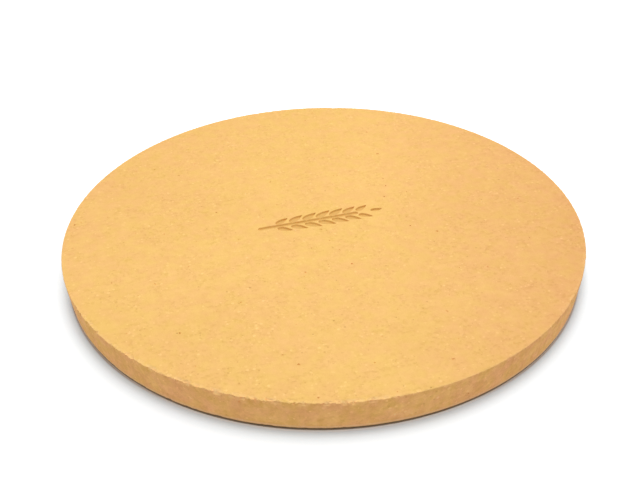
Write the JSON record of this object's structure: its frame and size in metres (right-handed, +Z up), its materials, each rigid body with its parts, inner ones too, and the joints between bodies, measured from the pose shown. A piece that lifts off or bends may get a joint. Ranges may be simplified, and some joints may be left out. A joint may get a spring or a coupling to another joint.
{
  "type": "pizza stone",
  "caption": "Thick flat round baking disc of buff fired ceramic, with a slightly tapered wall, a low bevel round its underside and softly rounded edges.",
  "frame": {"origin": "centre of the resting face, on the surface that the stone lies on", "axes": "+Z up, square to the resting face and the baking face; +X and +Y lie in the resting face, and the stamped ornament of the visual model runs along +X through the centre of the baking face"},
  "size_m": [0.3799, 0.38, 0.024],
  "materials": {
    "fired_cordierite": "matte"
  },
  "bodies": {
    "root": {"pizza_stone": "fired_cordierite"}
  },
  "joints": []
}
